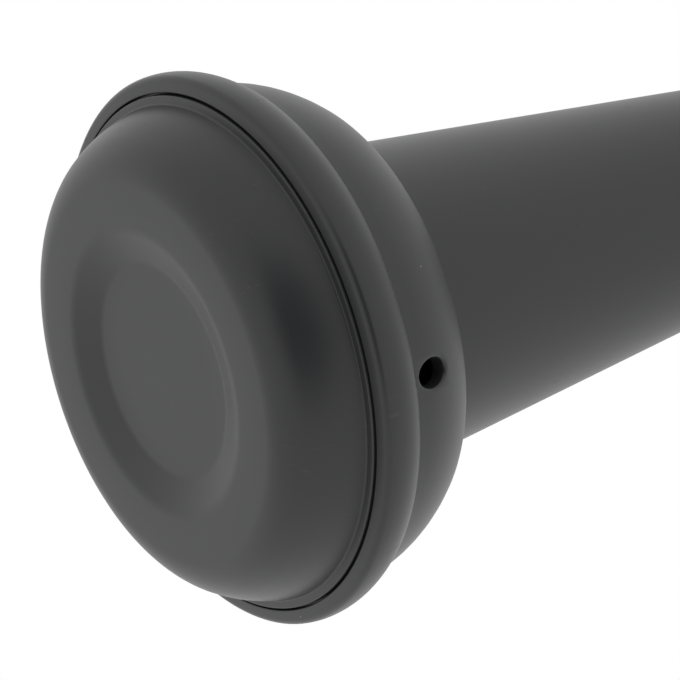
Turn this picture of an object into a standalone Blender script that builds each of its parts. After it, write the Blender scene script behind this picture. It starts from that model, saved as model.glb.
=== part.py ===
"""Practice mute for a trumpet: seven pieces turned on one axis.

The mute stands on the flat land of its domed wide end. +Z is its axis and points
to the narrow end, and the origin is the middle of the land. A piece is drawn as
the outline of its half section, radius against height in millimetres, and is
turned once round.
"""
import bpy
import bmesh
import math
from mathutils import Matrix, Vector

MM = 0.001

# Overall sizes, fits and facets
OVERALL_LENGTH = 165.0
BEAD_RADIUS = 39.0
WALL = 2.0
CLEARANCE = 0.3
TURN_STEPS = 56
HOLE_SIDES = 24
DEGREES_PER_STEP = 16.0

# Domed end. The shoulder steepens in three bows: the tilt that each reaches, its radius
FIRST_BOW = 6.25
SECOND_BOW = 9.3
THIRD_BOW = 17.0
SHOULDER = [(38.0, FIRST_BOW), (56.0, SECOND_BOW), (76.0, THIRD_BOW)]
DOME_WALL = 1.15
LAND_WIDTH = 6.5
DISH_SLOPE = 4.9
DISH_DEPTH = 1.75
DISH_FLOOR_ROUND = 3.0
DISH_RIM_ROUND = 5.0

# Lip at the dome's foot, and the spigot that plugs into the body
LIP_INSET = 2.7
LIP_WIDTH = 1.23
LIP_FACE_RISE = 0.1
LIP_ROUND = 0.3
LIP_SIDE = 1.0
SPIGOT_STEP = 2.2
SPIGOT_LENGTH = 5.1
SPIGOT_CHAMFER = 0.6

# Bead: bows away from its crown, to the front and to the back
BEAD_RISE = 0.7
BEAD_NOSE = 4.9
BEAD_LEDGE_ROUND = 1.07
BEAD_SWEEP = 7.2
BEAD_TUCK = 3.5
BEAD_FRONT = [(78.0, BEAD_NOSE), (8.0, BEAD_LEDGE_ROUND)]
BEAD_BACK = [(125.0, BEAD_SWEEP), (155.0, BEAD_TUCK)]

# Collar behind the bead, and its vent holes
COLLAR_INSET = 2.9
COLLAR_RISE = 5.45
COLLAR_TILT = 94.0
COLLAR_SWEEP = 20.0
COLLAR_TURN = 3.3
COLLAR = [(128.0, COLLAR_SWEEP), (180.0, COLLAR_TURN)]
VENT_COUNT = 3
VENT_WIDTH = 4.0
VENT_LENGTH = 5.1
VENT_RISE = 3.35

# Tapering tube, with the groove that holds the foam sleeve
BACK_WIDTH = 5.8
ROOT_ROUND = 2.5
MOUTH_ROUND = 0.8
GROOVE_DEPTH = 0.8
SLEEVE_SETBACK = 24.6
SLEEVE_LENGTH = 28.0
SLEEVE_THICKNESS = 4.7
SLEEVE_ROUND = 1.6

# Air pipe, and the bush in the narrow mouth that holds it
PIPE_RADIUS = 5.0
PIPE_WALL = 1.0
PIPE_OVERHANG = 1.7
BUSH_WALL = 2.6
BUSH_LENGTH = 9.7
BUSH_FLANGE = 1.5
BUSH_FLANGE_MARGIN = 0.7
BUSH_STOP = 3.0
BUSH_ROUND = 0.7

# Baffle disc at the root of the tube
BAFFLE_LAP = 3.0
BAFFLE_THICKNESS = 2.0
BAFFLE_RING = 3.0
BAFFLE_RING_WALL = 1.6
HUB_WALL = 2.5
HUB_HEIGHT = 8.0
AIR_HOLE_COUNT = 6
AIR_HOLE_WIDTH = 5.0

# Felt disc behind the dish
FELT_MARGIN = 2.5
FELT_THICKNESS = 4.0
FELT_ROUND = 0.8


def bow(start, tilt, bows):
    """Points of arcs that follow one another from start.

    The tilt is the angle between the surface's outward normal and straight down,
    so 0 is the face, 90 the side and 180 the back. Each arc turns the surface to
    a new tilt, on its own radius. A falling tilt walks back along the surface.
    """
    r, z = start
    points = [(r, z)]
    for next_tilt, radius in bows:
        steps = max(1, math.ceil(abs(next_tilt - tilt) / DEGREES_PER_STEP))
        a0 = math.radians(tilt)
        for k in range(1, steps + 1):
            a = math.radians(tilt + (next_tilt - tilt) * k / steps)
            points.append((r + radius * (math.sin(a) - math.sin(a0)),
                           z + radius * (math.cos(a0) - math.cos(a))))
        r, z = points[-1]
        tilt = next_tilt
    return points


def shrink(bows, depth):
    """The bows of a surface that lies inside another one by a depth."""
    return [(tilt, max(radius - depth, MM)) for tilt, radius in bows]


def rounded(before, corner, after, radius):
    """Points of the arc that rounds a corner between two straight sides."""
    u = Vector(before) - Vector(corner)
    v = Vector(after) - Vector(corner)
    half = u.angle(v) / 2
    reach = min(radius / math.tan(half), 0.45 * u.length, 0.45 * v.length)
    first = Vector(corner) + u.normalized() * reach
    inward = (u.normalized() + v.normalized()).normalized()
    middle = Vector(corner) + inward * reach / math.cos(half)
    spoke = first - middle
    turn = math.copysign(math.pi - 2 * half, v.x * u.y - v.y * u.x)
    steps = max(1, math.ceil(math.degrees(abs(turn)) / (2 * DEGREES_PER_STEP)))
    points = []
    for k in range(steps + 1):
        angle = turn * k / steps
        points.append((middle.x + spoke.x * math.cos(angle) - spoke.y * math.sin(angle),
                       middle.y + spoke.x * math.sin(angle) + spoke.y * math.cos(angle)))
    return points


def outline(corners):
    """A list of points from corners (radius, height) or (radius, height, rounding)."""
    points = []
    for k, corner in enumerate(corners):
        if len(corner) == 2:
            points.append(corner)
        else:
            points += rounded(corners[k - 1][:2], corner[:2], corners[k + 1][:2], corner[2])
    return points


# Cap, from its lip inwards to the dish
SHOULDER_REACH, SHOULDER_RISE = bow((0.0, 0.0), 0.0, SHOULDER)[-1]
WALL_LEAN = DOME_WALL / math.tan(math.radians(SHOULDER[-1][0]))
LIP_RADIUS = BEAD_RADIUS - LIP_INSET
FOOT_RADIUS = LIP_RADIUS - LIP_WIDTH
FOOT_HEIGHT = SHOULDER_RISE + DOME_WALL
LAND_RADIUS = FOOT_RADIUS - WALL_LEAN - SHOULDER_REACH
DISH_RIM_RADIUS = LAND_RADIUS - LAND_WIDTH
DISH_FLOOR_RADIUS = DISH_RIM_RADIUS - DISH_SLOPE
LIP_EDGE = FOOT_HEIGHT + LIP_FACE_RISE
LIP_BACK = LIP_EDGE + LIP_ROUND + LIP_SIDE
SPIGOT_RADIUS = LIP_RADIUS - SPIGOT_STEP
SPIGOT_END = LIP_BACK + SPIGOT_LENGTH

# Body, from its seat on the lip to the end of the collar
SEAT_HEIGHT = LIP_BACK + CLEARANCE
REBATE_RADIUS = LIP_RADIUS + CLEARANCE
SOCKET_RADIUS = SPIGOT_RADIUS + CLEARANCE
SOCKET_END = SPIGOT_END + CLEARANCE
BEAD_HEIGHT = SEAT_HEIGHT + BEAD_RISE
COLLAR_RADIUS = BEAD_RADIUS - COLLAR_INSET
COLLAR_HEIGHT = BEAD_HEIGHT + COLLAR_RISE
COLLAR_END, COLLAR_BACK = bow((COLLAR_RADIUS, COLLAR_HEIGHT), COLLAR_TILT, COLLAR)[-1]
INNER_BACK = COLLAR_BACK - WALL
VENT_HEIGHT = COLLAR_HEIGHT + VENT_RISE

# Tube, mouth, bush and pipe
ROOT_RADIUS = COLLAR_END - BACK_WIDTH
PIPE_SOCKET_RADIUS = PIPE_RADIUS + CLEARANCE
BUSH_RADIUS = PIPE_SOCKET_RADIUS + BUSH_WALL
BUSH_SOCKET_RADIUS = BUSH_RADIUS + CLEARANCE
MOUTH_RADIUS = BUSH_SOCKET_RADIUS + WALL
FLANGE_BOTTOM = OVERALL_LENGTH - BUSH_FLANGE
MOUTH_HEIGHT = FLANGE_BOTTOM - CLEARANCE
BUSH_BOTTOM = FLANGE_BOTTOM - BUSH_LENGTH
BUSH_SHOULDER = BUSH_BOTTOM - CLEARANCE
PIPE_STOP = OVERALL_LENGTH - BUSH_STOP
PIPE_END = PIPE_STOP - CLEARANCE
GROOVE_END = MOUTH_HEIGHT - SLEEVE_SETBACK
GROOVE_START = GROOVE_END - SLEEVE_LENGTH - 2 * CLEARANCE

# Baffle
BAFFLE_TOP = INNER_BACK - CLEARANCE
BAFFLE_BOTTOM = BAFFLE_TOP - BAFFLE_THICKNESS
PIPE_START = BAFFLE_BOTTOM - PIPE_OVERHANG


def tube_radius(height):
    """Outer radius of the tapering tube, leaving its groove aside."""
    share = (height - COLLAR_BACK) / (MOUTH_HEIGHT - COLLAR_BACK)
    return ROOT_RADIUS + share * (MOUTH_RADIUS - ROOT_RADIUS)


def material(name, color, roughness):
    mat = bpy.data.materials.new(name)
    mat.use_nodes = True
    shader = mat.node_tree.nodes["Principled BSDF"]
    shader.inputs["Base Color"].default_value = (*color, 1.0)
    shader.inputs["Roughness"].default_value = roughness
    shader.inputs["Metallic"].default_value = 0.0
    return mat


def turned(name, points, height, mat, closed=True):
    """One solid turned from a half section that runs down its outer side.

    A closed section is joined from its last point to its first, and an open one
    starts and ends on the axis. The object's origin is on the axis, at a height.
    """
    mesh = bpy.data.meshes.new(name)
    count = len(points)
    edges = [(k, k + 1) for k in range(count - 1)]
    if closed:
        edges.append((count - 1, 0))
    mesh.from_pydata([(r * MM, 0.0, (z - height) * MM) for r, z in points], edges, [])
    mesh.materials.append(mat)
    obj = bpy.data.objects.new(name, mesh)
    parts.objects.link(obj)
    obj.parent = axis
    obj.location = (0.0, 0.0, height * MM)
    screw = obj.modifiers.new("turn", "SCREW")
    screw.axis = "Z"
    screw.steps = TURN_STEPS
    screw.render_steps = TURN_STEPS
    screw.use_merge_vertices = True
    screw.merge_threshold = 0.00001
    screw.use_smooth_shade = True
    return obj


def drill(obj, name, width, length, depth, centre, direction, along):
    """Cut a hole that runs in one direction, with its length along another."""
    bm = bmesh.new()
    bmesh.ops.create_cone(bm, cap_ends=True, segments=HOLE_SIDES, depth=depth * MM,
                          radius1=MM / 2, radius2=MM / 2)
    bmesh.ops.scale(bm, vec=(width, length, 1.0), verts=bm.verts)
    turn = Matrix((along.cross(direction), along, direction)).transposed()
    bmesh.ops.rotate(bm, matrix=turn, verts=bm.verts)
    mesh = bpy.data.meshes.new(name)
    bm.to_mesh(mesh)
    bm.free()
    cutter = bpy.data.objects.new(name, mesh)
    cutters.objects.link(cutter)
    cutter.parent = axis
    cutter.location = centre * MM
    cutter.hide_render = True
    cutter.display_type = "WIRE"
    cut = obj.modifiers.new(name, "BOOLEAN")
    cut.operation = "DIFFERENCE"
    cut.solver = "EXACT"
    cut.object = cutter


def spokes(count):
    """Unit vectors out of the axis, evenly spaced, the first along +X."""
    return [Matrix.Rotation(2 * math.pi * k / count, 3, "Z") @ Vector((1.0, 0.0, 0.0))
            for k in range(count)]


def make_end_cap():
    face = outline([(0.0, DISH_DEPTH),
                    (DISH_FLOOR_RADIUS, DISH_DEPTH, DISH_FLOOR_ROUND),
                    (DISH_RIM_RADIUS, 0.0, DISH_RIM_ROUND),
                    (LAND_RADIUS, 0.0)])
    lip = outline([(FOOT_RADIUS, FOOT_HEIGHT),
                   (LIP_RADIUS, LIP_EDGE, LIP_ROUND),
                   (LIP_RADIUS, LIP_BACK),
                   (SPIGOT_RADIUS, LIP_BACK),
                   (SPIGOT_RADIUS, SPIGOT_END - SPIGOT_CHAMFER),
                   (SPIGOT_RADIUS - SPIGOT_CHAMFER, SPIGOT_END)])
    outside = face[:-1] + bow((LAND_RADIUS, 0.0), 0.0, SHOULDER) + lip
    inside = ([(0.0, DISH_DEPTH + WALL),
               (DISH_FLOOR_RADIUS, DISH_DEPTH + WALL),
               (DISH_RIM_RADIUS, WALL)]
              + bow((LAND_RADIUS, WALL), 0.0, shrink(SHOULDER, WALL))
              + [(SPIGOT_RADIUS - WALL, LIP_BACK),
                 (SPIGOT_RADIUS - WALL, SPIGOT_END)])
    turned("end_cap", inside + outside[::-1], 0.0, black_plastic, closed=False)


def make_body_shell():
    crown = (BEAD_RADIUS, BEAD_HEIGHT)
    front = bow(crown, 90.0, BEAD_FRONT)
    ledge_radius, ledge_height = front[-1]
    ledge_slope = math.tan(math.radians(BEAD_FRONT[-1][0]))
    ledge = [(REBATE_RADIUS, ledge_height - (ledge_radius - REBATE_RADIUS) * ledge_slope)]
    bead = front[::-1] + bow(crown, 90.0, BEAD_BACK)[1:]
    collar = bow((COLLAR_RADIUS, COLLAR_HEIGHT), COLLAR_TILT, COLLAR)
    tube = outline([(COLLAR_END, COLLAR_BACK),
                    (ROOT_RADIUS, COLLAR_BACK, ROOT_ROUND),
                    (tube_radius(GROOVE_START), GROOVE_START),
                    (tube_radius(GROOVE_START) - GROOVE_DEPTH, GROOVE_START),
                    (tube_radius(GROOVE_END) - GROOVE_DEPTH, GROOVE_END),
                    (tube_radius(GROOVE_END), GROOVE_END),
                    (MOUTH_RADIUS, MOUTH_HEIGHT, MOUTH_ROUND),
                    (BUSH_SOCKET_RADIUS, MOUTH_HEIGHT)])[1:]
    outside = ledge + bead + collar + tube
    tilt = math.radians(COLLAR_TILT)
    inner_start = (COLLAR_RADIUS - WALL * math.sin(tilt), COLLAR_HEIGHT + WALL * math.cos(tilt))
    inside = ([(REBATE_RADIUS, SEAT_HEIGHT),
               (SOCKET_RADIUS, SEAT_HEIGHT),
               (SOCKET_RADIUS, SOCKET_END)]
              + bow(inner_start, COLLAR_TILT, shrink(COLLAR, WALL))
              + [(tube_radius(INNER_BACK) - WALL, INNER_BACK),
                 (tube_radius(BUSH_SHOULDER) - WALL, BUSH_SHOULDER),
                 (BUSH_SOCKET_RADIUS, BUSH_SHOULDER)])
    body = turned("body_shell", outside[::-1] + inside, COLLAR_BACK, black_plastic)
    for k, out in enumerate(spokes(VENT_COUNT)):
        centre = out * (COLLAR_RADIUS - WALL)
        centre.z = VENT_HEIGHT
        drill(body, f"vent_cutter_{k + 1}", VENT_WIDTH, VENT_LENGTH, 4 * WALL, centre, out, UP)


def make_damping_felt():
    bottom = DISH_DEPTH + WALL + CLEARANCE
    bpy.ops.mesh.primitive_cylinder_add(vertices=TURN_STEPS,
                                        radius=(LAND_RADIUS - FELT_MARGIN) * MM,
                                        depth=FELT_THICKNESS * MM)
    felt = bpy.context.object
    felt.name = felt.data.name = "damping_felt"
    felt.parent = axis
    felt.location = (0.0, 0.0, (bottom + FELT_THICKNESS / 2) * MM)
    edge = felt.modifiers.new("soft_edge", "BEVEL")
    edge.width = FELT_ROUND * MM
    edge.segments = 2
    felt.data.shade_smooth()
    felt.data.set_sharp_from_angle(angle=math.radians(50.0))
    felt.data.materials.append(grey_felt)
    for holder in felt.users_collection:
        holder.objects.unlink(felt)
    parts.objects.link(felt)


def make_baffle_disc():
    hub_radius = PIPE_SOCKET_RADIUS + HUB_WALL
    ring_top = BAFFLE_TOP + BAFFLE_RING
    fit = WALL + CLEARANCE
    ring_inner = tube_radius(ring_top) - fit - BAFFLE_RING_WALL
    points = [(PIPE_SOCKET_RADIUS, BAFFLE_TOP + HUB_HEIGHT),
              (hub_radius, BAFFLE_TOP + HUB_HEIGHT),
              (hub_radius, BAFFLE_TOP),
              (ring_inner, BAFFLE_TOP),
              (ring_inner, ring_top),
              (tube_radius(ring_top) - fit, ring_top),
              (tube_radius(BAFFLE_TOP) - fit, BAFFLE_TOP),
              (ROOT_RADIUS - WALL + BAFFLE_LAP, BAFFLE_TOP),
              (ROOT_RADIUS - WALL + BAFFLE_LAP, BAFFLE_BOTTOM),
              (PIPE_SOCKET_RADIUS, BAFFLE_BOTTOM)]
    disc = turned("baffle_disc", points, BAFFLE_BOTTOM, pale_plastic)
    for k, out in enumerate(spokes(AIR_HOLE_COUNT)):
        centre = out * (hub_radius + ring_inner) / 2
        centre.z = BAFFLE_TOP
        drill(disc, f"air_cutter_{k + 1}", AIR_HOLE_WIDTH, AIR_HOLE_WIDTH,
              4 * BAFFLE_THICKNESS, centre, UP, out)


def make_inner_tube():
    bore = PIPE_RADIUS - PIPE_WALL
    points = [(bore, PIPE_END), (PIPE_RADIUS, PIPE_END), (PIPE_RADIUS, PIPE_START),
              (bore, PIPE_START)]
    turned("inner_tube", points, PIPE_START, pale_plastic)


def make_throat_bush():
    bore = PIPE_RADIUS - PIPE_WALL
    flange_radius = MOUTH_RADIUS - BUSH_FLANGE_MARGIN
    corners = [(bore, PIPE_STOP),
               (bore, OVERALL_LENGTH, BUSH_ROUND),
               (flange_radius, OVERALL_LENGTH, BUSH_ROUND),
               (flange_radius, FLANGE_BOTTOM),
               (BUSH_RADIUS, FLANGE_BOTTOM),
               (BUSH_RADIUS, BUSH_BOTTOM),
               (PIPE_SOCKET_RADIUS, BUSH_BOTTOM),
               (PIPE_SOCKET_RADIUS, PIPE_STOP)]
    turned("throat_bush", outline(corners), BUSH_BOTTOM, black_plastic)


def make_seal_sleeve():
    start = GROOVE_START + CLEARANCE
    end = GROOVE_END - CLEARANCE
    low = tube_radius(start) - GROOVE_DEPTH + CLEARANCE
    high = tube_radius(end) - GROOVE_DEPTH + CLEARANCE
    corners = [(high, end),
               (high + SLEEVE_THICKNESS, end, SLEEVE_ROUND),
               (low + SLEEVE_THICKNESS, start, SLEEVE_ROUND),
               (low, start)]
    turned("seal_sleeve", outline(corners), start, black_foam)


# An empty scene, with one collection for the mute and one for the cutters
for old in list(bpy.data.objects):
    bpy.data.objects.remove(old, do_unlink=True)
parts = bpy.data.collections.new("trumpet_mute")
cutters = bpy.data.collections.new("cutters")
bpy.context.scene.collection.children.link(parts)
bpy.context.scene.collection.children.link(cutters)
axis = bpy.data.objects.new("mute_axis", None)
parts.objects.link(axis)
UP = Vector((0.0, 0.0, 1.0))

black_plastic = material("black_plastic", (0.022, 0.022, 0.024), 0.42)
pale_plastic = material("pale_plastic", (0.62, 0.60, 0.55), 0.45)
grey_felt = material("grey_felt", (0.16, 0.16, 0.17), 0.95)
black_foam = material("black_foam", (0.030, 0.030, 0.032), 0.85)

make_end_cap()
make_body_shell()
make_damping_felt()
make_baffle_disc()
make_inner_tube()
make_throat_bush()
make_seal_sleeve()

print(f"land radius {LAND_RADIUS:.2f}, lip at {FOOT_HEIGHT:.2f}, collar back {COLLAR_BACK:.2f}, "
      f"tube root radius {ROOT_RADIUS:.2f}, mouth radius {MOUTH_RADIUS:.2f}")
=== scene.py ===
# %% [markdown]
# # A practice mute for a trumpet, in satin black plastic
# The object is a closed plastic mute: a domed end with a shallow dish, a rounded bead, a bulging
# collar with vent holes, and a long tapering tube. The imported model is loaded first. It gives the
# true sizes, and everything below is drawn over it in the same frame, in metres, with the domed
# end down and the axis along Z.

# %% Load the model and read its sizes
import math
import bpy
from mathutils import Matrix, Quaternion, Vector


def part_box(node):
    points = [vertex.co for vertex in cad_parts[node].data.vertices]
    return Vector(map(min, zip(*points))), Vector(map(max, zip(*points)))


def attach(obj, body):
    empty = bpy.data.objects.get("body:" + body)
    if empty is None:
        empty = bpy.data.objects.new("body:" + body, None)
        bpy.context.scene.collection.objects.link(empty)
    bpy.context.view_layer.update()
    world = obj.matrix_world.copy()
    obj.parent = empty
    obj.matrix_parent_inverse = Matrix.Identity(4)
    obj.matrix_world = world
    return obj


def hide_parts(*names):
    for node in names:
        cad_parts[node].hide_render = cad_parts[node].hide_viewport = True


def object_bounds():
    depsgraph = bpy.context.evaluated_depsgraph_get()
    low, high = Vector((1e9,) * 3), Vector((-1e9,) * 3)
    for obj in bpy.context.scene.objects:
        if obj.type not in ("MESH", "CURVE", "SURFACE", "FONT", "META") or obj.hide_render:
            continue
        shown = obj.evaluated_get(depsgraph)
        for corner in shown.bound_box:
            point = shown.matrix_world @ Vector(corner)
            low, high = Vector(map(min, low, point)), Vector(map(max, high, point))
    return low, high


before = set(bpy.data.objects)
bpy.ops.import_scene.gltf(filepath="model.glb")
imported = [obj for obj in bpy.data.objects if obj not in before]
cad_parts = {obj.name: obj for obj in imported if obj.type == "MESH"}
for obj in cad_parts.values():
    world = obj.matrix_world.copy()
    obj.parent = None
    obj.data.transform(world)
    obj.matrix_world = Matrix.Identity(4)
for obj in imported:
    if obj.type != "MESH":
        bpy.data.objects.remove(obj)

MM = 0.001
cad_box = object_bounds()
BEAD_RADIUS = cad_box[1][0] / MM
LENGTH = cad_box[1][2] / MM
CAP_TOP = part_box("end_cap")[1][2] / MM
LIP_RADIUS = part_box("end_cap")[1][0] / MM
print(f"bead radius {BEAD_RADIUS:.2f} mm, length {LENGTH:.2f} mm, lip radius {LIP_RADIUS:.2f} mm")

# %% [markdown]
# ## Shader arithmetic
# Procedural materials are mostly arithmetic on a few noise patterns. Written out as nodes and
# links, that is long and hard to read, so a small class wraps one output socket and lets plus,
# minus and times build the Math nodes. One method makes any other node.

# %% A wrapped socket, and a maker of nodes
class Value:
    """One output socket of a material's tree, with arithmetic."""

    def __init__(self, tree, socket):
        self.tree = tree
        self.socket = socket

    def math(self, operation, *others):
        made = self.tree.nodes.new("ShaderNodeMath")
        made.operation = operation
        for place, value in zip(made.inputs, (self, *others)):
            feed(self.tree, place, value)
        return Value(self.tree, made.outputs[0])

    def reflected(self, operation, other):
        """The same with the other value first, as in 1 - x."""
        made = self.tree.nodes.new("ShaderNodeMath")
        made.operation = operation
        feed(self.tree, made.inputs[0], other)
        feed(self.tree, made.inputs[1], self)
        return Value(self.tree, made.outputs[0])

    def __add__(self, other):
        return self.math("ADD", other)

    def __radd__(self, other):
        return self.reflected("ADD", other)

    def __rsub__(self, other):
        return self.reflected("SUBTRACT", other)

    def __mul__(self, other):
        return self.math("MULTIPLY", other)

    def above(self, low, high):
        """0 below low, 1 above high, and smooth between them."""
        made = self.tree.nodes.new("ShaderNodeMapRange")
        made.interpolation_type = "SMOOTHSTEP"
        made.inputs["From Min"].default_value = low
        made.inputs["From Max"].default_value = high
        feed(self.tree, made.inputs["Value"], self)
        return Value(self.tree, made.outputs["Result"])


def feed(tree, place, value):
    """Link a wrapped socket to an input, or set the input to a plain value."""
    if isinstance(value, Value):
        tree.links.new(value.socket, place)
    else:
        place.default_value = value


class Finish:
    """A material with one Principled shader, and the nodes that feed it."""

    def __init__(self, name, **constants):
        self.material = bpy.data.materials.new(name)
        self.material.use_nodes = True
        self.tree = self.material.node_tree
        self.shader = self.tree.nodes["Principled BSDF"]
        for socket, value in constants.items():
            self.shader.inputs[socket.replace("_", " ")].default_value = value
        self.place = self.node("ShaderNodeTexCoord", "Object")

    def node(self, kind, output, settings=None, **inputs):
        made = self.tree.nodes.new(kind)
        for name, value in (settings or {}).items():
            setattr(made, name, value)
        for name, value in inputs.items():
            feed(self.tree, made.inputs[name.replace("_", " ")], value)
        return Value(self.tree, made.outputs[output])

    def stretched(self, x, y, z):
        """The object's coordinates, stretched, for streaks and scratches."""
        return self.node("ShaderNodeMapping", "Vector", Vector=self.place, Scale=(x, y, z))

    def noise(self, size, detail=3.0, vector=None):
        """Soft noise whose blotches are about this many millimetres wide."""
        return self.node("ShaderNodeTexNoise", "Fac", Vector=vector or self.place,
                         Scale=1.0 / (size * MM), Detail=detail)

    def cells(self, size, output):
        """Scattered points, about this many millimetres apart."""
        return self.node("ShaderNodeTexVoronoi", output, Vector=self.place, Scale=1.0 / (size * MM))

    def mix(self, share, one, other):
        """A colour between two, by a share of the second."""
        made = self.tree.nodes.new("ShaderNodeMix")
        made.data_type = "RGBA"
        feed(self.tree, made.inputs[0], share)
        feed(self.tree, made.inputs[6], one)
        feed(self.tree, made.inputs[7], other)
        return Value(self.tree, made.outputs[2])

    def bump(self, height, depth):
        """A bump whose full height is a depth in millimetres."""
        return self.node("ShaderNodeBump", "Normal", Height=height, Distance=depth * MM)

    def set(self, **inputs):
        for name, value in inputs.items():
            feed(self.tree, self.shader.inputs[name.replace("_", " ")], value)

# %% [markdown]
# ## The black plastic
# The mute's shell is moulded in black plastic with a fine satin grain. A real moulding isn't even:
# its sheen wanders a little from the way it cooled, it carries faint scuffs, and pale dust clings
# to it. Each of these is one pattern. The grain goes to the bump, the sheen and scuffs to the
# roughness, and the dust to the colour, because dust hides the plastic under it.

# %% Satin black plastic
def make_black_plastic():
    finish = Finish("satin_black_plastic", IOR=1.5)
    grain = finish.noise(0.22, detail=4.0)
    flow = finish.noise(16.0, detail=2.0)
    streaks = finish.noise(2.0, detail=5.0, vector=finish.stretched(1.0, 3.5, 0.35))
    scuffs = streaks.above(0.63, 0.70) * finish.noise(9.0).above(0.50, 0.62)
    picked = finish.node("ShaderNodeSeparateColor", "Red", Color=finish.cells(6.5, "Color"))
    dust = (0.022 - finish.cells(6.5, "Distance")).above(0.0, 0.010) * picked.above(0.62, 0.64)
    plain = finish.mix(flow, (0.0150, 0.0155, 0.0170, 1.0), (0.0195, 0.0200, 0.0215, 1.0))
    worn = finish.mix(scuffs * 0.5, plain, (0.045, 0.045, 0.047, 1.0))
    finish.set(Base_Color=finish.mix(dust * 0.8, worn, (0.34, 0.33, 0.31, 1.0)),
               Roughness=0.33 + flow * 0.06 + grain * 0.05 + scuffs * 0.10 + dust * 0.3,
               Normal=finish.bump(grain + dust * 2.0, 0.006))
    return finish.material


black = make_black_plastic()
print(black.name, "has", len(black.node_tree.nodes), "nodes")

# %% [markdown]
# ## Turning a piece
# Every piece of the mute is round about one axis, so each is drawn as half of its section and spun
# round. A circle could be extruded and scaled ring by ring instead, but a drawn section keeps each
# bow's true radius. The section is walked like a path. A bow turns the surface steadily from one
# tilt to another, where the tilt is the angle between the surface's outward direction and straight
# down: 0 is the face that the mute stands on, 90 the side, 180 the back. Corners are rounded by a
# small arc, because a mould never leaves a knife edge, and that arc is what catches the light.

# %% Walk a section: bows and rounded corners
DEGREES_PER_STEP = 5.0


def bow(start, tilt, bows):
    """Points of arcs that follow one another from start, each to a tilt on its radius."""
    r, z = start
    points = [(r, z)]
    for next_tilt, radius in bows:
        steps = max(2, math.ceil(abs(next_tilt - tilt) / DEGREES_PER_STEP))
        from_angle = math.radians(tilt)
        for k in range(1, steps + 1):
            angle = math.radians(tilt + (next_tilt - tilt) * k / steps)
            points.append((r + radius * (math.sin(angle) - math.sin(from_angle)),
                           z + radius * (math.cos(from_angle) - math.cos(angle))))
        r, z = points[-1]
        tilt = next_tilt
    return points


def rounded(before, corner, after, radius):
    """Points of the small arc that rounds a corner between two straight sides."""
    corner = Vector(corner)
    u = Vector(before) - corner
    v = Vector(after) - corner
    half = u.angle(v) / 2
    reach = min(radius / math.tan(half), 0.48 * u.length, 0.48 * v.length)
    middle = corner + (u.normalized() + v.normalized()).normalized() * reach / math.cos(half)
    spoke = corner + u.normalized() * reach - middle
    turn = math.copysign(math.pi - 2 * half, v.x * u.y - v.y * u.x)
    steps = max(3, math.ceil(math.degrees(abs(turn)) / (2 * DEGREES_PER_STEP)))
    angles = [turn * k / steps for k in range(steps + 1)]
    return [(middle.x + spoke.x * math.cos(a) - spoke.y * math.sin(a),
             middle.y + spoke.x * math.sin(a) + spoke.y * math.cos(a)) for a in angles]


def outline(corners):
    """Points from corners (radius, height), or (radius, height, rounding)."""
    points = []
    for k, corner in enumerate(corners):
        if len(corner) == 2:
            points.append(corner)
        else:
            after = corners[(k + 1) % len(corners)]
            points += rounded(corners[k - 1][:2], corner[:2], after[:2], corner[2])
    return points

# %% [markdown]
# A plane merged to its centre is one lone vertex, the usual way to start drawing a line by hand.
# Extruding it from point to point draws the section, and Spin turns it through a full circle.
# Long straight stretches are first cut into shorter ones, so that no face is a thin sliver.

# %% Draw a section and spin it
TURN_STEPS = 160
LONGEST_STEP = 4.0
MERGE_DISTANCE = 0.002
SHARP_ANGLE = math.radians(35.0)


def turn_piece(name, section, closed=True):
    """One turned mesh, in metres, from a half section in millimetres."""
    path = [Vector((r * MM, 0.0, z * MM)) for r, z in section]
    if closed:
        path.append(path[0])
    bpy.ops.object.select_all(action="DESELECT")
    bpy.ops.mesh.primitive_plane_add(size=MM)
    piece = bpy.context.object
    piece.name = piece.data.name = name
    bpy.ops.object.mode_set(mode="EDIT")
    bpy.ops.mesh.select_all(action="SELECT")
    bpy.ops.mesh.merge(type="CENTER")
    bpy.ops.transform.translate(value=path[0])
    for here, there in zip(path, path[1:]):
        steps = max(1, math.ceil((there - here).length / (LONGEST_STEP * MM)))
        for k in range(steps):
            move = {"value": (there - here) / steps}
            bpy.ops.mesh.extrude_region_move(TRANSFORM_OT_translate=move)
    bpy.ops.mesh.select_all(action="SELECT")
    bpy.ops.mesh.spin(steps=TURN_STEPS, angle=2 * math.pi, center=(0, 0, 0), axis=(0, 0, 1))
    bpy.ops.mesh.select_all(action="SELECT")
    bpy.ops.mesh.remove_doubles(threshold=MERGE_DISTANCE * MM)
    bpy.ops.mesh.normals_make_consistent(inside=False)
    bpy.ops.object.mode_set(mode="OBJECT")
    bpy.ops.object.shade_smooth_by_angle(angle=SHARP_ANGLE)
    return piece


def dress(piece, node, material):
    """Give a piece its material, and let it stand for its node of the model."""
    piece.data.materials.clear()
    piece.data.materials.append(material)
    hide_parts(node)
    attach(piece, "root")
    low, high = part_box(node)
    model_width = (high[0] - low[0]) / MM
    print(f"{piece.name}: {len(piece.data.polygons)} faces, "
          f"{piece.dimensions.x / MM:.2f} mm wide where the model has {model_width:.2f}")

# %% [markdown]
# ## The domed cap
# The cap is a cover with a flat face, a shallow dish sunk into it, and a shoulder that steepens in
# three bows until it meets a narrow flat lip. The dish has a soft rim, which makes the wide pale
# ring in the photograph, and a tighter corner at its floor. The lip's outer corner stays fairly
# sharp: it is the thin bright line beside the seam.

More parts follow.
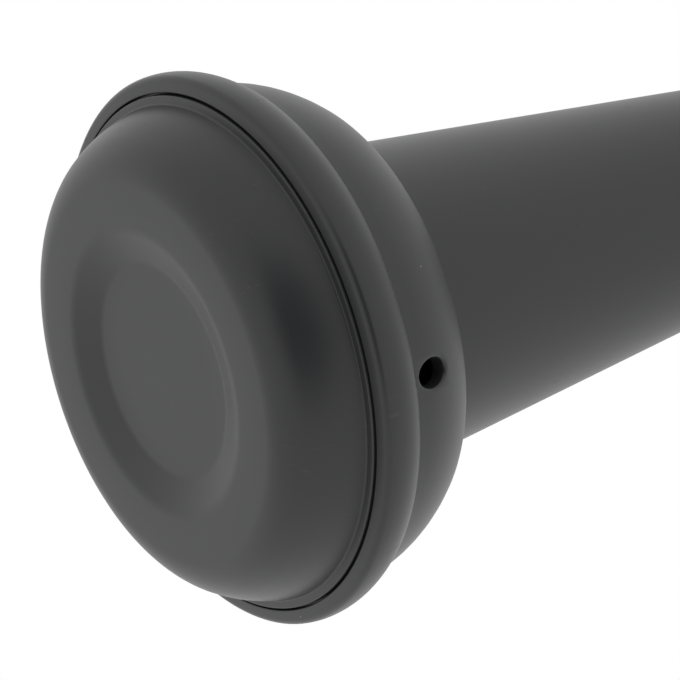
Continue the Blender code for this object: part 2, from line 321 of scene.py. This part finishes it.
# %% Turn the cap
WALL = 2.0
CLEARANCE = 0.3
SHOULDER = [(38.0, 6.25), (56.0, 9.3), (76.0, 17.0)]
LIP_WIDTH = 1.23
LIP_FOOT = 10.0
LIP_EDGE = 10.1
LIP_BACK = 11.4
LIP_FOOT_ROUND = 0.35
LIP_EDGE_ROUND = 0.25
LIP_BACK_ROUND = 0.1
LAND_WIDTH = 6.5
DISH_SLOPE = 4.9
DISH_DEPTH = 1.75
DISH_FLOOR_ROUND = 3.0
DISH_RIM_ROUND = 5.0
SPIGOT_STEP = 2.2
SPIGOT_CHAMFER = 0.6

shoulder_reach, shoulder_rise = bow((0.0, 0.0), 0.0, SHOULDER)[-1]
wall_lean = (LIP_FOOT - shoulder_rise) / math.tan(math.radians(SHOULDER[-1][0]))
foot_radius = LIP_RADIUS - LIP_WIDTH
land_radius = foot_radius - wall_lean - shoulder_reach
dish_rim = land_radius - LAND_WIDTH
dish_floor = dish_rim - DISH_SLOPE
spigot_radius = LIP_RADIUS - SPIGOT_STEP

cap_face = outline([(0.0, DISH_DEPTH),
                    (dish_floor, DISH_DEPTH, DISH_FLOOR_ROUND),
                    (dish_rim, 0.0, DISH_RIM_ROUND),
                    (land_radius, 0.0)])
cap_shoulder = bow((land_radius, 0.0), 0.0, SHOULDER)
cap_lip = outline([cap_shoulder[-1],
                   (foot_radius, LIP_FOOT, LIP_FOOT_ROUND),
                   (LIP_RADIUS, LIP_EDGE, LIP_EDGE_ROUND),
                   (LIP_RADIUS, LIP_BACK, LIP_BACK_ROUND),
                   (spigot_radius, LIP_BACK),
                   (spigot_radius, CAP_TOP - SPIGOT_CHAMFER),
                   (spigot_radius - SPIGOT_CHAMFER, CAP_TOP)])
cap_inside = ([(0.0, DISH_DEPTH + WALL), (dish_floor, DISH_DEPTH + WALL), (dish_rim, WALL)]
              + bow((land_radius, WALL), 0.0, [(tilt, size - WALL) for tilt, size in SHOULDER])
              + [(spigot_radius - WALL, LIP_BACK), (spigot_radius - WALL, CAP_TOP)])
cap_section = cap_inside + (cap_face[:-1] + cap_shoulder + cap_lip[1:])[::-1]
cap = turn_piece("domed_cap", cap_section, closed=False)
dress(cap, "end_cap", black)

# %% [markdown]
# ## The body: bead, collar and tube in one moulding
# Behind the seam the body starts with a narrow ledge, swells into the bead, drops into a crease,
# and bulges again as the collar. The collar turns over into a flat back wall, and a small fillet
# leads into the tube, which tapers evenly to the mouth. A shallow groove in the tube holds the
# foam sleeve. All of it is one section, because the real body is one moulding with one skin.

# %% Turn the body
BEAD_HEIGHT = 12.4
BEAD_FRONT = [(78.0, 4.9), (8.0, 1.07)]
BEAD_BACK = [(125.0, 7.2), (150.0, 3.5)]
LEDGE_ROUND = 0.2
COLLAR_INSET = 2.9
COLLAR_RADIUS = BEAD_RADIUS - COLLAR_INSET
COLLAR_HEIGHT = 17.85
COLLAR_TILT = 94.0
COLLAR = [(128.0, 20.0), (180.0, 3.3)]
CREASE_OUT = 0.05
CREASE_DROP = 0.25
CREASE_ROUND = 0.3
BACK_WIDTH = 5.8
ROOT_ROUND = 2.5
MOUTH_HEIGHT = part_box("body_shell")[1][2] / MM
MOUTH_RADIUS = 10.2
MOUTH_ROUND = 0.8
GROOVE_DEPTH = 0.8
GROOVE_ROUND = 0.15
GROOVE_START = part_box("seal_sleeve")[0][2] / MM - CLEARANCE
GROOVE_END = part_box("seal_sleeve")[1][2] / MM + CLEARANCE
SEAT = LIP_BACK + CLEARANCE
BUSH_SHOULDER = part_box("throat_bush")[0][2] / MM - CLEARANCE

collar = bow((COLLAR_RADIUS, COLLAR_HEIGHT), COLLAR_TILT, COLLAR)
collar_end, collar_back = collar[-1]
root_radius = collar_end - BACK_WIDTH


def tube_radius(height):
    """Outer radius of the tapering tube, leaving its groove aside."""
    share = (height - collar_back) / (MOUTH_HEIGHT - collar_back)
    return root_radius + share * (MOUTH_RADIUS - root_radius)


rebate = LIP_RADIUS + CLEARANCE
bead_front = bow((BEAD_RADIUS, BEAD_HEIGHT), 90.0, BEAD_FRONT)
ledge_radius, ledge_height = bead_front[-1]
ledge_slope = math.tan(math.radians(BEAD_FRONT[-1][0]))
ledge_start = ledge_height - (ledge_radius - rebate) * ledge_slope
ledge = outline([(rebate, SEAT), (rebate, ledge_start, LEDGE_ROUND), (ledge_radius, ledge_height)])
bead_back = bow((BEAD_RADIUS, BEAD_HEIGHT), 90.0, BEAD_BACK)
crease_corner = (collar[0][0] + CREASE_OUT, collar[0][1] - CREASE_DROP, CREASE_ROUND)
crease = outline([bead_back[-1], crease_corner, collar[1]])
start_radius, end_radius = tube_radius(GROOVE_START), tube_radius(GROOVE_END)
tube = outline([collar[-1],
                (root_radius, collar_back, ROOT_ROUND),
                (start_radius, GROOVE_START, GROOVE_ROUND),
                (start_radius - GROOVE_DEPTH, GROOVE_START),
                (end_radius - GROOVE_DEPTH, GROOVE_END),
                (end_radius, GROOVE_END, GROOVE_ROUND),
                (MOUTH_RADIUS, MOUTH_HEIGHT, MOUTH_ROUND),
                (MOUTH_RADIUS - WALL, MOUTH_HEIGHT)])
tilt = math.radians(COLLAR_TILT)
inner_start = (COLLAR_RADIUS - WALL * math.sin(tilt), COLLAR_HEIGHT + WALL * math.cos(tilt))
inner_back = collar_back - WALL
socket_radius = spigot_radius + CLEARANCE
body_inside = ([(socket_radius, SEAT), (socket_radius, CAP_TOP + CLEARANCE)]
               + bow(inner_start, COLLAR_TILT, [(t, size - WALL) for t, size in COLLAR])
               + [(tube_radius(inner_back) - WALL, inner_back),
                  (tube_radius(BUSH_SHOULDER) - WALL, BUSH_SHOULDER),
                  (MOUTH_RADIUS - WALL, BUSH_SHOULDER)])
body_section = (ledge[:-1] + bead_front[::-1] + bead_back[1:-1] + crease[1:-1]
                + collar[1:] + tube[1:] + body_inside[::-1])
body = turn_piece("moulded_body", body_section)
print(f"tube radius {root_radius:.2f} mm at the root, collar back at {collar_back:.2f} mm")

# %% [markdown]
# ## The vent holes
# Three holes round the collar let the damped sound out. Each has a softly rounded rim, so the
# cutter is a funnel: straight deep down, and flaring out near the surface. The collar is curved
# both ways, and a flat funnel would flare unevenly, so the cutter's points are wrapped onto the
# collar: across becomes an angle round the axis, and up or down becomes a place along the bulge.

# %% Cut the vent holes
VENT_COUNT = 3
VENT_WIDTH = 4.0
VENT_LENGTH = 5.1
VENT_HEIGHT = 21.2
VENT_ROUND = 0.45
VENT_MEAN_RADIUS = 2.2
VENT_SIDES = 48
FLARE_ANGLES = (0, 18, 36, 54, 70)
FUNNEL_REACH = 0.9


def on_collar(across, along, out, turn):
    """The point above the collar's skin that a flat point (across, along, out) wraps to."""
    first_tilt, radius = COLLAR_TILT, COLLAR[0][1]
    start = math.radians(first_tilt)
    angle = math.acos(math.cos(start) - (VENT_HEIGHT + along - COLLAR_HEIGHT) / radius)
    skin = COLLAR_RADIUS + radius * (math.sin(angle) - math.sin(start))
    r = skin + out * math.sin(angle)
    z = VENT_HEIGHT + along - out * math.cos(angle)
    return Vector((r * math.cos(turn + across / skin), r * math.sin(turn + across / skin), z)) * MM


def make_funnel(turn):
    """A flared cutter for one vent hole, wrapped onto the collar at an angle."""
    bpy.ops.object.select_all(action="DESELECT")
    bpy.ops.mesh.primitive_circle_add(vertices=VENT_SIDES, radius=1.0, fill_type="NGON")
    cutter = bpy.context.object
    bpy.ops.object.mode_set(mode="EDIT")
    bpy.ops.mesh.select_all(action="SELECT")
    flare = [math.radians(a) for a in FLARE_ANGLES]
    rings = [(1.0 + VENT_ROUND / VENT_MEAN_RADIUS * (1 - math.cos(a)),
              VENT_ROUND * (math.sin(a) - 1)) for a in flare]
    rings.append((rings[-1][0] + FUNNEL_REACH, rings[-1][1] + FUNNEL_REACH))
    size, height = 1.0, -2 * WALL
    bpy.ops.transform.translate(value=(0, 0, height))
    for ring, level in rings:
        bpy.ops.mesh.extrude_region_move(TRANSFORM_OT_translate={"value": (0, 0, level - height)})
        bpy.ops.transform.resize(value=(ring / size, ring / size, 1.0))
        size, height = ring, level
    bpy.ops.mesh.select_all(action="SELECT")
    bpy.ops.mesh.normals_make_consistent(inside=False)
    bpy.ops.object.mode_set(mode="OBJECT")
    for vertex in cutter.data.vertices:
        x, y, out = vertex.co
        vertex.co = on_collar(x * VENT_WIDTH / 2, y * VENT_LENGTH / 2, out, turn)
    return cutter


def cut(piece, cutter):
    """Take a cutter's shape out of a piece, for good."""
    bpy.ops.object.select_all(action="DESELECT")
    piece.select_set(True)
    bpy.context.view_layer.objects.active = piece
    modifier = piece.modifiers.new("cut", "BOOLEAN")
    modifier.object = cutter
    bpy.ops.object.modifier_apply(modifier=modifier.name)
    bpy.data.objects.remove(cutter, do_unlink=True)


for k in range(VENT_COUNT):
    cut(body, make_funnel(2 * math.pi * k / VENT_COUNT))
bpy.ops.object.shade_smooth_by_angle(angle=SHARP_ANGLE)
dress(body, "body_shell", black)

# %% [markdown]
# ## The foam sleeve
# The sleeve is what seals the mute in the bell, so it is soft black foam, slightly swollen between
# its ends. Its section is drawn like the others, with a bowed outer side and well rounded corners.
# The foam's skin is matt and full of tiny cells, which is a bump from scattered points. The same
# points also make the colour darker in the pits of the cells: painted shade in the pores.

# %% Turn the foam sleeve
def make_foam():
    finish = Finish("black_foam", Base_Color=(0.02, 0.02, 0.02, 1.0))
    pores_and_painted_shade = finish.cells(0.55, "Distance")
    fine = finish.noise(0.3, detail=4.0)
    # Painted shade: the colour is darker towards each pore's centre, where the bump sinks into a
    # pit.
    shade = finish.mix(pores_and_painted_shade, (0.016, 0.016, 0.017, 1.0), (0.034, 0.034, 0.036, 1.0))
    finish.set(Base_Color=shade, Roughness=0.80 + fine * 0.15,
               Normal=finish.bump(pores_and_painted_shade + fine * 0.6, 0.10))
    return finish.material


SLEEVE_SWELL = 0.25
SLEEVE_ROUND = 1.8
SWELL_STEPS = 12
foam_low, foam_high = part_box("seal_sleeve")
foam_start, foam_end = foam_low[2] / MM, foam_high[2] / MM
foam_wide = foam_high[0] / MM - SLEEVE_SWELL
foam_narrow = foam_wide - (tube_radius(foam_start) - tube_radius(foam_end))
inner_gap = CLEARANCE - GROOVE_DEPTH
foam_side = []
for k in range(1, SWELL_STEPS):
    share = k / SWELL_STEPS
    swell = SLEEVE_SWELL * math.sin(math.pi * share)
    foam_side.append((foam_narrow + (foam_wide - foam_narrow) * share + swell,
                      foam_end + (foam_start - foam_end) * share))
foam_section = outline([(tube_radius(foam_end) + inner_gap, foam_end),
                        (foam_narrow, foam_end, SLEEVE_ROUND), foam_side[1]])[:-1]
foam_section += foam_side[1:-1]
foam_section += outline([foam_side[-2], (foam_wide, foam_start, SLEEVE_ROUND),
                         (tube_radius(foam_start) + inner_gap, foam_start)])[1:]
sleeve = turn_piece("foam_sleeve", foam_section)
dress(sleeve, "seal_sleeve", make_foam())

# %% [markdown]
# ## The mouth: bush and air pipe
# A flanged bush closes the narrow mouth and holds a pale pipe that carries the air through the
# mute. Both are plain mouldings with softly rounded rims. The pale plastic is a little cloudy, so
# its colour wanders gently.

# %% Turn the bush and the pipe
def make_pale_plastic():
    finish = Finish("pale_plastic", IOR=1.48)
    cloud = finish.noise(7.0, detail=2.0)
    grain = finish.noise(0.25, detail=3.0)
    tint = finish.mix(cloud, (0.56, 0.54, 0.48, 1.0), (0.68, 0.66, 0.60, 1.0))
    finish.set(Base_Color=tint, Roughness=0.40 + grain * 0.12, Normal=finish.bump(grain, 0.006))
    return finish.material


pale = make_pale_plastic()
PIPE_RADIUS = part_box("inner_tube")[1][0] / MM
PIPE_WALL = 1.0
PIPE_ROUND = 0.25
PIPE_BORE = PIPE_RADIUS - PIPE_WALL
PIPE_START, PIPE_END = (corner[2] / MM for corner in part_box("inner_tube"))
BUSH_START, BUSH_END = (corner[2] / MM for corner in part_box("throat_bush"))
FLANGE_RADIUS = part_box("throat_bush")[1][0] / MM
BUSH_RADIUS = MOUTH_RADIUS - WALL - CLEARANCE
FLANGE_BOTTOM = MOUTH_HEIGHT + CLEARANCE
PIPE_STOP = PIPE_END + CLEARANCE
BUSH_RIM_ROUND = 0.7
BUSH_EDGE_ROUND = 0.2
BUSH_FOOT_ROUND = 0.4

bush = turn_piece("mouth_bush", outline([
    (PIPE_BORE, PIPE_STOP, BUSH_EDGE_ROUND),
    (PIPE_BORE, BUSH_END, BUSH_RIM_ROUND),
    (FLANGE_RADIUS, BUSH_END, BUSH_RIM_ROUND),
    (FLANGE_RADIUS, FLANGE_BOTTOM, BUSH_EDGE_ROUND),
    (BUSH_RADIUS, FLANGE_BOTTOM),
    (BUSH_RADIUS, BUSH_START, BUSH_FOOT_ROUND),
    (PIPE_RADIUS + CLEARANCE, BUSH_START),
    (PIPE_RADIUS + CLEARANCE, PIPE_STOP)]))
dress(bush, "throat_bush", black)
pipe = turn_piece("air_pipe", outline([
    (PIPE_BORE, PIPE_END, PIPE_ROUND), (PIPE_RADIUS, PIPE_END, PIPE_ROUND),
    (PIPE_RADIUS, PIPE_START, PIPE_ROUND), (PIPE_BORE, PIPE_START, PIPE_ROUND)]))
dress(pipe, "inner_tube", pale)
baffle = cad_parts["baffle_disc"]
baffle.data.materials.clear()
baffle.data.materials.append(pale)

# %% [markdown]
# ## The felt
# A felt disc lies behind the dish and soaks up sound. It can be glimpsed through the air pipe. A
# disc of felt has soft rounded edges, and its look comes from a mat of fibres: two noises that
# are stretched across each other, and a sheen, which is the light caught by loose hairs.

# %% Turn the felt disc
def make_felt():
    finish = Finish("grey_felt", Roughness=0.95, Sheen_Weight=0.4, Sheen_Roughness=0.5)
    one = finish.noise(0.5, detail=5.0, vector=finish.stretched(3.0, 0.6, 1.0))
    other = finish.noise(0.5, detail=5.0, vector=finish.stretched(0.6, 3.0, 1.0))
    mat = (one + other) * 0.5
    finish.set(Base_Color=finish.mix(mat, (0.09, 0.09, 0.10, 1.0), (0.24, 0.24, 0.25, 1.0)),
               Normal=finish.bump(mat, 0.25))
    return finish.material


FELT_ROUND = 1.0
FELT_MIDDLE = 1.0
felt_low, felt_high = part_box("damping_felt")
felt_radius = felt_high[0] / MM
felt_bottom, felt_top = felt_low[2] / MM, felt_high[2] / MM
felt_side = outline([(FELT_MIDDLE, felt_top), (felt_radius, felt_top, FELT_ROUND),
                     (felt_radius, felt_bottom, FELT_ROUND), (FELT_MIDDLE, felt_bottom)])
felt_section = [(0.0, felt_top)] + felt_side + [(0.0, felt_bottom)]
felt = turn_piece("felt_disc", felt_section, closed=False)
dress(felt, "damping_felt", make_felt())

# %% [markdown]
# ## The camera
# The photograph looks at the domed end from close by, from a little below the plane that the mute
# would stand on, and with the mute lying across the picture. So the camera sits low in front of
# the face, and is rolled about its own line of sight.

# %% The camera's place
EYE = Vector((401.2, -130.3, -234.7)) * MM
AIM = Vector((1.1, 3.2, 30.2)) * MM
ROLL = math.radians(72.0)
LENS = 188.8

bpy.ops.object.select_all(action="DESELECT")
bpy.ops.object.camera_add(location=EYE)
camera = bpy.context.object
look = (AIM - EYE).to_track_quat("-Z", "Y")
camera.rotation_euler = (look @ Quaternion((0.0, 0.0, 1.0), ROLL)).to_euler()
camera.data.lens = LENS
camera.data.clip_start = 0.01
bpy.context.scene.camera = camera
print(f"the camera stands {(EYE - AIM).length:.3f} m away")

# %% [markdown]
# ## The floor
# The floor is pale paper, a hair below the mute. The camera looks up from below it, so the floor
# shows only its upper side: seen from below it is clear, and lets the light tent through.

# %% Floor
FLOOR_SIZE = 6.0
FLOOR_DROP = 0.2

bpy.ops.mesh.primitive_plane_add(size=FLOOR_SIZE, location=(0.0, 0.0, -FLOOR_DROP * MM))
floor = bpy.context.object
floor.name = "floor"
paper = Finish("pale_floor", Roughness=0.9)
paper.set(Base_Color=paper.mix(paper.noise(120.0), (0.80, 0.80, 0.79, 1.0),
                               (0.84, 0.84, 0.83, 1.0)))
below = paper.node("ShaderNodeNewGeometry", "Backfacing")
clear = paper.node("ShaderNodeBsdfTransparent", "BSDF")
one_sided = paper.tree.nodes.new("ShaderNodeMixShader")
feed(paper.tree, one_sided.inputs[0], below)
feed(paper.tree, one_sided.inputs[1], Value(paper.tree, paper.shader.outputs["BSDF"]))
feed(paper.tree, one_sided.inputs[2], clear)
output = paper.tree.nodes["Material Output"]
paper.tree.links.new(one_sided.outputs[0], output.inputs["Surface"])
floor.data.materials.append(paper.material)
floor.visible_diffuse = False
floor.visible_glossy = False
floor.visible_shadow = False

# %% [markdown]
# ## The light
# The photograph was taken in a white light tent: the background is pure white, black plastic
# mirrors it wherever the surface turns away, and the only dark thing around is the opening that
# the camera looks through. So the world is white, with a soft dark patch on the camera's side,
# which makes the dark centre of the shoulder and the bead.

# %% Light tent
TENT_OPENING = math.radians(17.0)
TENT_EDGE = math.radians(36.0)

world = bpy.data.worlds.new("light_tent")
bpy.context.scene.world = world
world.use_nodes = True
tree = world.node_tree
background = tree.nodes["Background"]
to_eye = (EYE - AIM).normalized()
direction = Value(tree, tree.nodes.new("ShaderNodeTexCoord").outputs["Generated"])
facing = tree.nodes.new("ShaderNodeVectorMath")
facing.operation = "DOT_PRODUCT"
feed(tree, facing.inputs[0], direction)
feed(tree, facing.inputs[1], to_eye)
toward = Value(tree, facing.outputs["Value"])
opening = toward.above(math.cos(TENT_EDGE), math.cos(TENT_OPENING))
shade = tree.nodes.new("ShaderNodeMix")
shade.data_type = "RGBA"
feed(tree, shade.inputs[0], opening)
shade.inputs[6].default_value = (1.0, 1.0, 1.0, 1.0)
shade.inputs[7].default_value = (0.02, 0.02, 0.02, 1.0)
tree.links.new(shade.outputs[2], background.inputs["Color"])
background.inputs["Strength"].default_value = 1.0
bpy.context.scene.view_settings.view_transform = "Standard"
print("the tent's opening spans", round(2 * math.degrees(TENT_OPENING)), "degrees")
